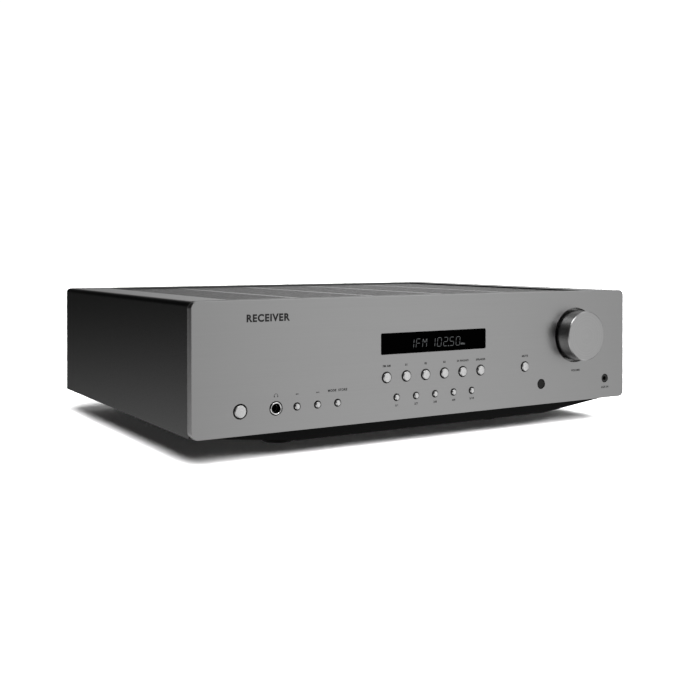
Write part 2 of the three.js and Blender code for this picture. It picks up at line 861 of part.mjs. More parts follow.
// One moulding holds the three-pin inlet below and the rocker's well above.
function mainsInlet() {
  const { x, width, depth } = INLET;
  const low = INLET.z - INLET.height / 2;
  const high = SWITCH.z + SWITCH.height / 2;
  const middle = (low + high) / 2;
  const flange = plate(
    roundedRectangle(x, middle, width + 8, high - low + 6, 3, 2),
    [],
    connectorFace,
    connectorFace + 2,
  );
  const body = box(x - width / 2, x + width / 2, connectorFace - depth, connectorFace + 1, low, high);
  const side = width / 2 - 1.5;
  const rim = INLET.height / 2 - 1.5;
  const chamfer = 4;
  const mouth = [
    [-side, -rim],
    [side, -rim],
    [side, rim - chamfer],
    [side - chamfer, rim],
    [chamfer - side, rim],
    [-side, rim - chamfer],
  ].map(([u, v]) => new THREE.Vector2(x + u, INLET.z + v));
  const hollow = plate(mouth, [], connectorFace - depth + 4, connectorFace + 5);
  const well = box(
    x - SWITCH.width / 2 + 1,
    x + SWITCH.width / 2 - 1,
    connectorFace - 10,
    connectorFace + 5,
    SWITCH.z - SWITCH.height / 2 + 1,
    SWITCH.z + SWITCH.height / 2 - 1,
  );
  const pins = [[-7, -2], [0, 2], [7, -2]].map(([u, v]) =>
    box(
      x + u - 1,
      x + u + 1,
      connectorFace - depth + 3,
      connectorFace - 3,
      INLET.z + v - 2,
      INLET.z + v + 2,
    ),
  );
  const shell = cut(joined([flange, body]), [hollow, well]);
  return pins.map(solid).reduce((sum, pin) => sum.add(pin), shell);
}

add("mains_inlet", mainsInlet(), materials.blackPlastic);

// The rocker is drawn level and then tipped to its on position about its pivot.
function rocker() {
  const { x, z, width, height, tilt } = SWITCH;
  const reach = height / 2 - 1.8;
  const outline = [
    [-5, -reach * 0.5],
    [2.4, -reach],
    [1.4, 0],
    [2.4, reach],
    [-5, reach * 0.5],
  ].map(([y, v]) => new THREE.Vector2(y, v));
  const length = width - 2 - 2 * GAP;
  const turn = new THREE.Matrix4().makeBasis(
    new THREE.Vector3(0, 1, 0),
    new THREE.Vector3(0, 0, 1),
    new THREE.Vector3(1, 0, 0),
  );
  return new THREE.ExtrudeGeometry(new THREE.Shape(outline), { depth: length, bevelEnabled: false })
    .applyMatrix4(turn)
    .rotateX(THREE.MathUtils.degToRad(tilt))
    .translate(x - length / 2, connectorFace, z);
}

add("power_switch_rocker", rocker(), materials.blackPlastic);

export default receiver;
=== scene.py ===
# Stereo receiver: the visible pieces and their finishes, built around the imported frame.
# Metres, +Z up; the front panel faces -Y. Sizes and places come from the frame's boxes.
from math import atan2, cos, pi, radians, sin, tan

import bmesh
import bpy
from mathutils import Matrix, Vector


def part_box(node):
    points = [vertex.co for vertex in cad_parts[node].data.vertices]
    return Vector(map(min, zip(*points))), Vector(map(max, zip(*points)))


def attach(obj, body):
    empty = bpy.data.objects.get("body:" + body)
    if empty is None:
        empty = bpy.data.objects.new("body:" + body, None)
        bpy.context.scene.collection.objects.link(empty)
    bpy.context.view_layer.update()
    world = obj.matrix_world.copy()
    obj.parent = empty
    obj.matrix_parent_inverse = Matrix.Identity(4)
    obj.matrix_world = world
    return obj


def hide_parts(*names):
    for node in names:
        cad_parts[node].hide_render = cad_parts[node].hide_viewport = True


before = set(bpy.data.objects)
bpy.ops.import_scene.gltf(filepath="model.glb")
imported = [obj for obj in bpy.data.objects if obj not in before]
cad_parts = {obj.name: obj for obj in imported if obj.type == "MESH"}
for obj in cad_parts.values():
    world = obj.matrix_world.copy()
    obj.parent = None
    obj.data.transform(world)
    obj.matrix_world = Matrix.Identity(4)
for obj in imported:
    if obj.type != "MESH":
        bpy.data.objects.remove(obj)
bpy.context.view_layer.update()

MM = 0.001
SHEET = 1.2 * MM
GAP = 0.3 * MM
PRINT_DEPTH = 0.03 * MM

# ---------------------------------------------------------------- outlines


def softened(corners, closed=True, steps=5):
    """Turns each corner given as (u, v, radius) into an arc; a corner (u, v) stays sharp."""
    points = []
    for i, corner in enumerate(corners):
        here = Vector(corner[:2])
        radius = corner[2] if len(corner) > 2 else 0
        at_end = not closed and i in (0, len(corners) - 1)
        if radius == 0 or at_end:
            points.append(tuple(here))
            continue
        back = (Vector(corners[i - 1][:2]) - here).normalized()
        ahead = (Vector(corners[(i + 1) % len(corners)][:2]) - here).normalized()
        half = back.angle(ahead) / 2
        centre = here + (back + ahead).normalized() * radius / sin(half)
        start = here + back * radius / tan(half) - centre
        end = here + ahead * radius / tan(half) - centre
        first = atan2(start.y, start.x)
        sweep = (atan2(end.y, end.x) - first + pi) % (2 * pi) - pi
        for step in range(steps + 1):
            angle = first + sweep * step / steps
            points.append((centre.x + radius * cos(angle), centre.y + radius * sin(angle)))
    return points


def disc(u, v, radius, segments=56):
    angles = [2 * pi * i / segments for i in range(segments)]
    return [(u + radius * cos(a), v + radius * sin(a)) for a in angles]


def rectangle(u0, u1, v0, v1, corner, steps=5):
    corners = [(u0, v0, corner), (u1, v0, corner), (u1, v1, corner), (u0, v1, corner)]
    return softened(corners, steps=steps)


def framed(low, high, grow, corner, steps=5):
    """A rectangle in X and Z about a box, larger than it by that much on every side."""
    return rectangle(low.x - grow, high.x + grow, low.z - grow, high.z + grow, corner, steps)


def stadium(u, v, length, width):
    corner = width / 2 * 0.999
    return rectangle(u - length / 2, u + length / 2, v - width / 2, v + width / 2, corner)


# ---------------------------------------------------------------- meshes

FRONT_FACING = Matrix(((1, 0, 0, 0), (0, 0, -1, 0), (0, 1, 0, 0), (0, 0, 0, 1)))
REAR_FACING = Matrix(((-1, 0, 0, 0), (0, 0, 1, 0), (0, 1, 0, 0), (0, 0, 0, 1)))


def plate(outer, holes, thick, rim):
    """A flat plate in its own X and Y, centred on Z = 0, with rounded rims on every edge."""
    curve = bpy.data.curves.new("plate", "CURVE")
    curve.dimensions = "2D"
    curve.fill_mode = "BOTH"
    curve.extrude = thick / 2 - rim
    curve.bevel_depth = rim
    curve.bevel_resolution = 2
    curve.offset = -rim
    for points in [outer] + [list(reversed(hole)) for hole in holes]:
        spline = curve.splines.new("POLY")
        spline.points.add(len(points) - 1)
        spline.use_cyclic_u = True
        for target, (u, v) in zip(spline.points, points):
            target.co = (u, v, 0, 1)
    return mesh_of(curve)


def mesh_of(curve):
    """The mesh that a curve or text gives, with its shared vertices merged."""
    holder = bpy.data.objects.new("holder", curve)
    bpy.context.scene.collection.objects.link(holder)
    graph = bpy.context.evaluated_depsgraph_get()
    mesh = bpy.data.meshes.new_from_object(holder.evaluated_get(graph))
    bpy.data.objects.remove(holder)
    bpy.data.curves.remove(curve)
    work = bmesh.new()
    work.from_mesh(mesh)
    bmesh.ops.remove_doubles(work, verts=work.verts, dist=1e-6)
    bmesh.ops.recalc_face_normals(work, faces=work.faces)
    work.to_mesh(mesh)
    work.free()
    return mesh


def facing_plate(outer, holes, y0, y1, rim=0.15 * MM):
    """A plate whose outlines are given in X and Z, from y0 back to y1."""
    mesh = plate(outer, holes, y1 - y0, rim)
    mesh.transform(Matrix.Translation((0, (y0 + y1) / 2, 0)) @ FRONT_FACING)
    return mesh


def lying_plate(outer, holes, z0, z1, rim=0.15 * MM):
    """A plate whose outlines are given in X and Y, from z0 up to z1."""
    mesh = plate(outer, holes, z1 - z0, rim)
    mesh.transform(Matrix.Translation((0, 0, (z0 + z1) / 2)))
    return mesh


def turned(profile, x, z, segments=72, flutes=0, depth=0.0):
    """A turned piece with its axis along Y; profile points are (radius, y), or (radius, y, True)
    where the surface is fluted."""
    work = bmesh.new()
    rings = []
    for point in profile:
        radius, y = point[:2]
        if radius < 1e-7:
            rings.append([work.verts.new((x, y, z))])
            continue
        ring = []
        for i in range(segments):
            angle = 2 * pi * i / segments
            dip = depth * (0.5 - 0.5 * cos(flutes * angle)) if len(point) > 2 else 0
            reach = radius - dip
            ring.append(work.verts.new((x + reach * cos(angle), y, z + reach * sin(angle))))
        rings.append(ring)
    if len(rings[0]) > 1:
        rings.append(rings[0])
    for first, second in zip(rings, rings[1:]):
        for i in range(segments):
            j = (i + 1) % segments
            corners = [first[i % len(first)], first[j % len(first)]]
            corners += [second[j % len(second)], second[i % len(second)]]
            unique = list(dict.fromkeys(corners))
            if len(unique) > 2:
                work.faces.new(unique)
    bmesh.ops.recalc_face_normals(work, faces=work.faces)
    mesh = bpy.data.meshes.new("turned")
    work.to_mesh(mesh)
    work.free()
    return mesh


def upright(profile, x, y, segments=72):
    """A turned piece with its axis along Z; profile points are (radius, z)."""
    mesh = turned(profile, 0, 0, segments)
    mesh.transform(Matrix.Translation((x, y, 0)) @ Matrix.Rotation(pi / 2, 4, "X"))
    return mesh


def block(low, high, rim=0.3 * MM, steps=2):
    """A box from its lowest to its highest corner, with rounded edges."""
    work = bmesh.new()
    bmesh.ops.create_cube(work, size=1)
    low, high = Vector(low), Vector(high)
    size = high - low
    for vert in work.verts:
        vert.co = Vector(v * s for v, s in zip(vert.co, size)) + (low + high) / 2
    shape = {"offset": rim, "segments": steps, "profile": 0.5, "clamp_overlap": True}
    bmesh.ops.bevel(work, geom=work.edges, affect="EDGES", **shape)
    mesh = bpy.data.meshes.new("block")
    work.to_mesh(mesh)
    work.free()
    return mesh


def loops(rings):
    """A closed skin over rings of points that lie inside one another, such as a pressed step."""
    work = bmesh.new()
    made = [[work.verts.new(point) for point in ring] for ring in rings]
    for first, second in zip(made, made[1:] + made[:1]):
        for i in range(len(first)):
            j = (i + 1) % len(first)
            work.faces.new((first[i], first[j], second[j], second[i]))
    bmesh.ops.recalc_face_normals(work, faces=work.faces)
    mesh = bpy.data.meshes.new("loops")
    work.to_mesh(mesh)
    work.free()
    return mesh


def together(meshes):
    """Several meshes as one."""
    work = bmesh.new()
    for mesh in meshes:
        work.from_mesh(mesh)
    merged = bpy.data.meshes.new("together")
    work.to_mesh(merged)
    work.free()
    return merged


def lettering(text, x, z, height, y, facing=FRONT_FACING, weight=0.05):
    """Printed characters of that cap height, centred on (x, z); weight thickens their strokes."""
    curve = bpy.data.curves.new("lettering", "FONT")
    curve.body = text
    curve.size = height / 0.7
    curve.align_x = "CENTER"
    curve.align_y = "CENTER"
    curve.space_character = 1.02 + weight * 2
    curve.offset = weight * height
    curve.extrude = PRINT_DEPTH
    mesh = mesh_of(curve)
    mesh.transform(Matrix.Translation((x, y, z)) @ facing)
    return mesh


def piece(name, mesh, look, body="chassis", nodes=(), sharp=35):
    """Places a mesh as a piece that rides on a body, and stands for any CAD nodes it is given."""
    mesh.name = name
    mesh.shade_smooth()
    mesh.set_sharp_from_angle(angle=radians(sharp))
    made = bpy.data.objects.new(name, mesh)
    bpy.context.scene.collection.objects.link(made)
    made.data.materials.clear()
    made.data.materials.append(look)
    even = made.modifiers.new("even_normals", "WEIGHTED_NORMAL")
    even.keep_sharp = True
    even.weight = 90
    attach(made, body)
    if nodes:
        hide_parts(*nodes)
    return made


# ---------------------------------------------------------------- finishes


def add_node(look, kind, inputs=None, **settings):
    """Adds a node; an input is a value or the socket that feeds it."""
    made = look.node_tree.nodes.new(kind)
    for key, value in settings.items():
        setattr(made, key, value)
    for key, value in (inputs or {}).items():
        if isinstance(value, bpy.types.NodeSocket):
            look.node_tree.links.new(value, made.inputs[key])
        else:
            made.inputs[key].default_value = value
    return made


def grain(look, scale, stretch=(1, 1, 1), detail=3.0, roughness=0.55):
    """Noise over the piece's own coordinates, in cycles per metre."""
    where = add_node(look, "ShaderNodeTexCoord").outputs["Object"]
    mapped = add_node(look, "ShaderNodeMapping", {"Vector": where, "Scale": stretch}).outputs[0]
    inputs = {"Vector": mapped, "Scale": scale, "Detail": detail, "Roughness": roughness}
    return add_node(look, "ShaderNodeTexNoise", inputs).outputs[0]


def rings_about(look, centre, scale):
    """Noise that changes only with the distance from an axis along Y, as turning marks do."""
    where = add_node(look, "ShaderNodeTexCoord").outputs["Object"]
    moved = add_node(look, "ShaderNodeVectorMath", {0: where, 1: centre}, operation="SUBTRACT")
    inputs = {0: moved.outputs[0], 1: (1, 0, 1)}
    flat = add_node(look, "ShaderNodeVectorMath", inputs, operation="MULTIPLY")
    far = add_node(look, "ShaderNodeVectorMath", {0: flat.outputs[0]}, operation="LENGTH")
    inputs = {"W": far.outputs["Value"], "Scale": scale, "Detail": 4.0, "Roughness": 0.7}
    return add_node(look, "ShaderNodeTexNoise", inputs, noise_dimensions="1D").outputs[0]


def spread(look, source, low, high):
    """A noise's middle range, stretched to run from low to high."""
    inputs = {"Value": source, "From Min": 0.3, "From Max": 0.7, "To Min": low, "To Max": high}
    return add_node(look, "ShaderNodeMapRange", inputs).outputs[0]


def tinted(look, source, dark, light):
    blend = {"Factor": spread(look, source, 0, 1), "A": rgba(dark), "B": rgba(light)}
    made = add_node(look, "ShaderNodeMix", data_type="RGBA")
    for name, value in blend.items():
        socket = [s for s in made.inputs if s.name == name and s.enabled][0]
        if isinstance(value, bpy.types.NodeSocket):
            look.node_tree.links.new(value, socket)
        else:
            socket.default_value = value
    return [s for s in made.outputs if s.enabled][0]


def rgba(tone):
    return (*tone, 1) if isinstance(tone, (tuple, list)) else (tone, tone, tone, 1)


def bumped(look, height, distance, strength=1.0):
    inputs = {"Height": height, "Distance": distance, "Strength": strength}
    return add_node(look, "ShaderNodeBump", inputs).outputs[0]


def finish(name, color, roughness, normal=None, **constants):
    """Joins the sockets of a look to its shader; constants are set on the shader itself."""
    look = bpy.data.materials.new(name)
    look.use_nodes = True
    shader = look.node_tree.nodes["Principled BSDF"]
    for key, value in constants.items():
        shader.inputs[key.replace("_", " ")].default_value = value
    sources = {"Base Color": color(look), "Roughness": roughness(look)}
    if normal:
        sources["Normal"] = normal(look)
    for key, source in sources.items():
        look.node_tree.links.new(source, shader.inputs[key])
    return look


def simple_finish(name, dark, light, rough, scale, bump, stretch=(1, 1, 1), **constants):
    """Colour, roughness and relief from one grain, which may be stretched along an axis."""
    return finish(
        name,
        lambda look: tinted(look, grain(look, scale * 0.2, stretch), dark, light),
        lambda look: spread(look, grain(look, scale * 0.5, stretch), *rough),
        lambda look: bumped(look, grain(look, scale, stretch), bump),
        **constants,
    )


knob_low, knob_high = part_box("volume_knob")
knob_middle = (knob_low + knob_high) / 2


def spun_finish(name, dark, light, rough, centre):
    return finish(
        name,
        lambda look: tinted(look, rings_about(look, centre, 900), dark, light),
        lambda look: spread(look, rings_about(look, centre, 1500), *rough),
        lambda look: bumped(look, rings_about(look, centre, 2600), 0.012 * MM),
        Metallic=1.0,
    )


def winding_finish(name, centre):
    """Layers of varnished tape laid round the ring."""

    def turns(look):
        where = add_node(look, "ShaderNodeTexCoord").outputs["Object"]
        moved = add_node(look, "ShaderNodeVectorMath", {0: where, 1: centre}, operation="SUBTRACT")
        split = add_node(look, "ShaderNodeSeparateXYZ", {0: moved.outputs[0]})
        inputs = {0: split.outputs["Y"], 1: split.outputs["X"]}
        angle = add_node(look, "ShaderNodeMath", inputs, operation="ARCTAN2").outputs[0]
        inputs = {"W": angle, "Scale": 24.0, "Detail": 2.0}
        return add_node(look, "ShaderNodeTexNoise", inputs, noise_dimensions="1D").outputs[0]

    return finish(
        name,
        lambda look: tinted(look, turns(look), (0.06, 0.035, 0.012), (0.16, 0.1, 0.035)),
        lambda look: spread(look, turns(look), 0.35, 0.6),
        lambda look: bumped(look, turns(look), 0.6 * MM),
    )


def board_finish(name):
    """Green solder mask with paler copper runs under it."""

    def runs(look):
        where = add_node(look, "ShaderNodeTexCoord").outputs["Object"]
        inputs = {"Vector": where, "Scale": 320.0, "Randomness": 0.6}
        cells = add_node(look, "ShaderNodeTexVoronoi", inputs, distance="MANHATTAN")
        return cells.outputs["Distance"]

    return finish(
        name,
        lambda look: tinted(look, runs(look), (0.012, 0.09, 0.035), (0.03, 0.17, 0.07)),
        lambda look: spread(look, grain(look, 400), 0.35, 0.5),
        lambda look: bumped(look, runs(look), 0.03 * MM),
    )


clamp_low, clamp_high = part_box("transformer_clamp")
BRUSHED = (0.15, 1, 40)
DARK_RED = (0.28, 0.008, 0.006)
LIGHT_RED = (0.36, 0.014, 0.01)
DARK_BLUE = (0.008, 0.01, 0.03)
LIGHT_BLUE = (0.016, 0.02, 0.05)

looks = {
    "panel": simple_finish(
        "panel_aluminium", 0.342, 0.352, (0.36, 0.39), 220, 0.0015 * MM, BRUSHED, Metallic=1.0
    ),
    "knob": spun_finish("knob_aluminium", 0.36, 0.4, (0.28, 0.34), knob_middle),
    "cap": simple_finish("button_satin", 0.56, 0.7, (0.28, 0.38), 5000, 0.01 * MM, Metallic=0.9),
    "subframe": simple_finish(
        "subframe_plastic", 0.34, 0.4, (0.42, 0.52), 2500, 0.008 * MM, Metallic=0.9
    ),
    "acrylic": simple_finish(
        "smoked_acrylic", 0.0006, 0.001, (0.05, 0.09), 40, 0.001 * MM, Specular_IOR_Level=0.0
    ),
    "lens": simple_finish(
        "sensor_acrylic", 0.003, 0.004, (0.08, 0.14), 60, 0.001 * MM, Specular_IOR_Level=0.2
    ),
    "cover": simple_finish("cover_steel", 0.005, 0.008, (0.26, 0.34), 2600, 0.006 * MM),
    "base": simple_finish(
        "base_steel", 0.003, 0.005, (0.5, 0.6), 2200, 0.02 * MM, Specular_IOR_Level=0.1
    ),
    "rear": simple_finish("rear_steel", 0.018, 0.024, (0.45, 0.55), 2400, 0.02 * MM),
    "plastic": simple_finish("black_plastic", 0.01, 0.016, (0.35, 0.45), 1800, 0.012 * MM),
    "chrome": simple_finish("chrome_ring", 0.72, 0.8, (0.08, 0.14), 500, 0.001 * MM, Metallic=1.0),
    "zinc": simple_finish("zinc_steel", 0.4, 0.52, (0.3, 0.45), 260, 0.006 * MM, Metallic=1.0),
    "rubber": simple_finish(
        "foot_rubber", 0.003, 0.005, (0.75, 0.9), 1500, 0.03 * MM, Specular_IOR_Level=0.1
    ),
    "board": board_finish("circuit_board"),
    "winding": winding_finish("transformer_winding", (clamp_low + clamp_high) / 2),
    "heatsink": simple_finish(
        "heatsink_aluminium", 0.3, 0.38, (0.4, 0.55), 120, 0.02 * MM, (1, 1, 0.1), Metallic=1.0
    ),
    "sleeve": simple_finish(
        "capacitor_sleeve", DARK_BLUE, LIGHT_BLUE, (0.3, 0.4), 300, 0.002 * MM
    ),
    "red": simple_finish("terminal_red", DARK_RED, LIGHT_RED, (0.25, 0.35), 900, 0.005 * MM),
    "white": simple_finish("socket_white", 0.62, 0.7, (0.3, 0.4), 900, 0.005 * MM),
    "ink": simple_finish("dark_print", 0.006, 0.01, (0.5, 0.6), 2000, 0.002 * MM),
    "pale_ink": simple_finish("pale_print", 0.5, 0.58, (0.5, 0.6), 2000, 0.002 * MM),
    "glow": simple_finish(
        "display_glow",
        0.05,
        0.07,
        (0.3, 0.4),
        800,
        0.001 * MM,
        Emission_Color=(0.8, 0.86, 0.9, 1),
        Emission_Strength=0.07,
    ),
}

# ---------------------------------------------------------------- front panel

FLANGE = 1.6 * MM  # how far a button's hidden flange reaches beyond its cap
STANDBY_GAP = 0.9 * MM
CAP_GAP = 0.7 * MM
RIM = 0.3 * MM

panel_low, panel_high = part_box("front_panel")
sub_low, sub_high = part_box("front_subframe")
window_low, window_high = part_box("display_window")
ring_low, ring_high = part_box("headphone_ring")
ir_low, ir_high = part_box("ir_window")
aux_low, aux_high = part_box("aux_jack")
PANEL_CORNER = 5 * MM
panel_face = panel_low.y
inside = sub_high.y + GAP


def middle_and_radius(low, high):
    middle = (low + high) / 2
    return middle.x, middle.z, (high.x - low.x) / 2


def buttons():
    """Name, centre, cap radius and gap of every push button."""
    for name in sorted(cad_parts):
        if "_button" not in name:
            continue
        x, z, flange = middle_and_radius(*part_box(name))
        gap = STANDBY_GAP if name == "standby_button" else CAP_GAP
        yield name, x, z, flange - FLANGE, gap


KNOB_HOLE = 24.3 * MM
RING_HOLE_GAP = 0.6 * MM
AUX_HOLE = 3.9 * MM
AUX_BARREL = 3.6 * MM
AUX_BORE = 1.8 * MM
JACK_BARREL = 4.4 * MM
JACK_BORE = 3.2 * MM
knob_x, knob_z, knob_radius = middle_and_radius(knob_low, knob_high)
ring_x, ring_z, ring_radius = middle_and_radius(ring_low, ring_high)
ir_x, ir_z, ir_radius = middle_and_radius(ir_low, ir_high)
aux_x, aux_z, _ = middle_and_radius(aux_low, aux_high)


def front_panel():
    holes = [disc(x, z, radius + gap) for _, x, z, radius, gap in buttons()]
    holes.append(disc(knob_x, knob_z, KNOB_HOLE, 128))
    holes.append(disc(ring_x, ring_z, ring_radius + RING_HOLE_GAP))
    holes.append(disc(ir_x, ir_z, ir_radius + GAP))
    holes.append(disc(aux_x, aux_z, AUX_HOLE))
    holes.append(framed(window_low, window_high, GAP, MM))
    outer = framed(panel_low, panel_high, 0, PANEL_CORNER, steps=12)
    mesh = facing_plate(outer, holes, panel_low.y, panel_high.y, RIM)
    piece("panel_plate", mesh, looks["panel"], nodes=["front_panel"])


def subframe():
    holes = [disc(x, z, radius + gap + GAP, 32) for _, x, z, radius, gap in buttons()]
    bushing = 4.8 * MM
    window_inset = 3 * MM
    holes.append(disc(knob_x, knob_z, bushing))
    holes.append(disc(ring_x, ring_z, JACK_BARREL + GAP))
    holes.append(disc(aux_x, aux_z, AUX_BARREL + GAP))
    holes.append(framed(window_low, window_high, -window_inset, MM))
    outer = framed(sub_low, sub_high, 0, PANEL_CORNER, steps=12)
    mesh = facing_plate(outer, holes, sub_low.y, sub_high.y, RIM)
    piece("subframe_plate", mesh, looks["subframe"], nodes=["front_subframe"])


def button_caps():
    rounding = 0.8 * MM
    stem = 1.2 * MM
    flange_back = inside + MM
    for name, x, z, radius, _ in buttons():
        low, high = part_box(name)
        corners = [
            (0, low.y),
            (radius, low.y, rounding),
            (radius, inside),
            (radius + FLANGE, inside),
            (radius + FLANGE, flange_back),
            (stem, flange_back),
            (stem, high.y),
            (0, high.y),
        ]
        mesh = turned(softened(corners, closed=False), x, z)
        piece(f"{name}_cap", mesh, looks["cap"], body=name, nodes=[name])


def volume_knob():
    face = knob_low.y
    back = knob_high.y
    taper = 0.5 * MM
    chamfer = 0.7 * MM
    wall = 3.5 * MM
    cavity = face + 5 * MM
    hub = 6.5 * MM
    bore = 3.3 * MM
    bore_end = face + 6.7 * MM
    corners = [
        (0, face),
        (knob_radius - taper - chamfer, face, 0.3 * MM),
        (knob_radius - taper, face + chamfer, 0.3 * MM),
        (knob_radius, back, 0.3 * MM),
        (knob_radius - wall, back, 0.3 * MM),
        (knob_radius - wall, cavity),
        (hub, cavity),
        (hub, back - 4 * MM),
        (bore, back - 4 * MM),
        (bore, bore_end),
        (0, bore_end),
    ]
    mesh = turned(softened(corners, closed=False), knob_x, knob_z, segments=160)
    piece("knob_shell", mesh, looks["knob"], body="knob", nodes=["volume_knob"])


def socket_body(name, node, barrel, bore):
    """A panel socket: a round nose on a square moulding, with one bore right through both."""
    low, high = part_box(node)
    x, z, half = middle_and_radius(low, high)
    shoulder = inside + MM
    mouth = [
        (bore, low.y, 0.3 * MM),
        (barrel, low.y, 0.3 * MM),
        (barrel, shoulder),
        (bore, shoulder),
    ]
    nose = turned(softened(mouth), x, z)
    outer = rectangle(x - half, x + half, z - half, z + half, 0.5 * MM)
    body = facing_plate(outer, [disc(x, z, bore)], inside, high.y)
    piece(name, together([nose, body]), looks["plastic"], nodes=[node])


def headphone_ring():
    opening = 3.6 * MM
    rounding = 0.5 * MM
    corners = [
        (opening, ring_low.y, rounding),
        (ring_radius, ring_low.y, rounding),
        (ring_radius, ring_high.y),
        (opening, ring_high.y),
    ]
    mesh = turned(softened(corners), ring_x, ring_z)
    piece("headphone_ring_turned", mesh, looks["chrome"], nodes=["headphone_ring"])


def windows():
    outline = framed(window_low, window_high, 0, 0.8 * MM)
    lens = facing_plate(outline, [], window_low.y, window_high.y)
    piece("display_lens", lens, looks["acrylic"], nodes=["display_window"])
    corners = [
        (0, ir_low.y),
        (ir_radius, ir_low.y, 0.6 * MM),
        (ir_radius, ir_high.y),
        (0, ir_high.y),
    ]
    eye = turned(softened(corners, closed=False), ir_x, ir_z)
    piece("ir_lens", eye, looks["lens"], nodes=["ir_window"])


front_panel()
subframe()
button_caps()
volume_knob()
socket_body("headphone_socket_body", "headphone_jack", JACK_BARREL, JACK_BORE)
socket_body("aux_socket_body", "aux_jack", AUX_BARREL, AUX_BORE)
headphone_ring()
windows()

# ---------------------------------------------------------------- display and front print

# Strokes of one character cell, from (u, v) to (u, v), in halves of its width and height.
STROKES = {
    "top": ((0, 2), (2, 2)),
    "middle": ((0, 1), (2, 1)),
    "bottom": ((0, 0), (2, 0)),
    "upper_left": ((0, 1), (0, 2)),
    "lower_left": ((0, 0), (0, 1)),
    "upper_right": ((2, 1), (2, 2)),
    "lower_right": ((2, 0), (2, 1)),
    "left_slope": ((0, 2), (1, 1)),
    "right_slope": ((1, 1), (2, 2)),
}
SIDES = ["upper_left", "lower_left", "upper_right", "lower_right"]
CHARACTERS = {
    "0": SIDES + ["top", "bottom"],
    "1": ["upper_right", "lower_right"],
    "2": ["top", "upper_right", "middle", "lower_left", "bottom"],
    "5": ["top", "upper_left", "middle", "lower_right", "bottom"],
    "F": ["top", "upper_left", "lower_left", "middle"],
    "M": SIDES + ["left_slope", "right_slope"],
}
CELL_WIDTH = 3.9 * MM
CELL_HEIGHT = 7 * MM
CELL_PITCH = 6.4 * MM
SPACE = 2 * MM
STROKE = 0.42 * MM
STROKE_GAP = 0.3 * MM
SLANT = 0.1


def stroke_points(start, end, left, low):
    """The long hexagon of one lit stroke."""
    a = Vector((left + start[0] * CELL_WIDTH / 2, low + start[1] * CELL_HEIGHT / 2))
    b = Vector((left + end[0] * CELL_WIDTH / 2, low + end[1] * CELL_HEIGHT / 2))
    along = (b - a).normalized()
    across = Vector((-along.y, along.x)) * STROKE / 2
    a += along * STROKE_GAP
    b -= along * STROKE_GAP
    tip = along * STROKE / 2
    corners = [a, a + tip + across, b - tip + across, b, b - tip - across, a + tip - across]
    return [(p.x + (p.y - low) * SLANT, p.y) for p in corners]


def display_text(text, left, low, face):
    """Lit characters from the left; a point takes no width of its own."""
    depth = 0.04 * MM
    strokes = []
    for character in text:
        if character == " ":
            left += SPACE
            continue
        if character == ".":
            right = left - (CELL_PITCH - CELL_WIDTH) / 2
            sides = (right - STROKE, right + STROKE, low - STROKE, low + STROKE)
            outline = rectangle(*sides, 0.1 * MM, 1)
            strokes.append(facing_plate(outline, [], face - depth, face, 0.01 * MM))
            continue
        for name in CHARACTERS[character]:
            outline = stroke_points(*STROKES[name], left, low)
            strokes.append(facing_plate(outline, [], face - depth, face, 0.01 * MM))
        left += CELL_PITCH
    return strokes


def display():
    face = window_low.y - 0.01 * MM
    left = window_low.x + 27.4 * MM
    low = (window_low.z + window_high.z) / 2 - CELL_HEIGHT / 2 - 0.9 * MM
    strokes = display_text("1FM 102.50", left, low, face)
    strokes.append(lettering("MHz", window_low.x + 81.4 * MM, low + MM, 1.5 * MM, face))
    piece("display_characters", together(strokes), looks["glow"])


display()

# Text, X, height above the panel's lower edge, and cap height.
LABELS = [
    ("RECEIVER", -154.5, 85.0, 5.2),
    ("MODE  STORE", -94.8, 27.6, 1.7),
    ("MUTE", 94.6, 43.4, 1.7),
    ("VOLUME", 154.5, 27.4, 1.7),
    ("AUX IN", 191.3, 9.8, 1.7),
]
SOURCES = ("FM AM", "S1", "S2", "S3", "S4 PHONO", "SPEAKER")
SMALL_PRINT = 1.6 * MM
LABEL_RISE = 9 * MM  # from a source button's centre up to its label
LABEL_DROP = 6.6 * MM  # from a preset button's centre down to its label
SYMBOL_RISE = 9.3 * MM  # from a small button or the headphone socket up to its symbol
WORD_WEIGHT = 0.06


def mark(points, y):
    return facing_plate(points, [], y - PRINT_DEPTH, y, 0.005 * MM)


def skip_mark(x, z, direction):
    """Two arrowheads and a bar."""
    size = 1.1 * MM
    bar_width = 0.3 * MM
    parts = []
    for i in range(2):
        base = x + direction * (i - 1) * size
        tip = base + direction * size
        arrow = [(base, z - size / 2), (tip, z), (base, z + size / 2)]
        parts.append(mark(arrow[::direction], panel_face))
    bar = x + direction * size
    outline = rectangle(bar, bar + bar_width, z - size / 2, z + size / 2, 0.05 * MM, 1)
    parts.append(mark(outline, panel_face))
    return parts


def headphone_mark(x, z):
    """A band over two ear cushions."""
    outer = 1.7 * MM
    inner = 1.4 * MM
    ear_half = 0.35 * MM
    angles = [pi * i / 16 for i in range(17)]
    band = [(x + outer * cos(a), z + outer * sin(a)) for a in angles]
    band += [(x + inner * cos(a), z + inner * sin(a)) for a in reversed(angles)]
    parts = [mark(band, panel_face)]
    for side in (-1, 1):
        ear = x + side * inner
        outline = rectangle(ear - ear_half, ear + ear_half, z - 1.1 * MM, z + 0.2 * MM, 0.3 * MM, 3)
        parts.append(mark(outline, panel_face))
    return parts


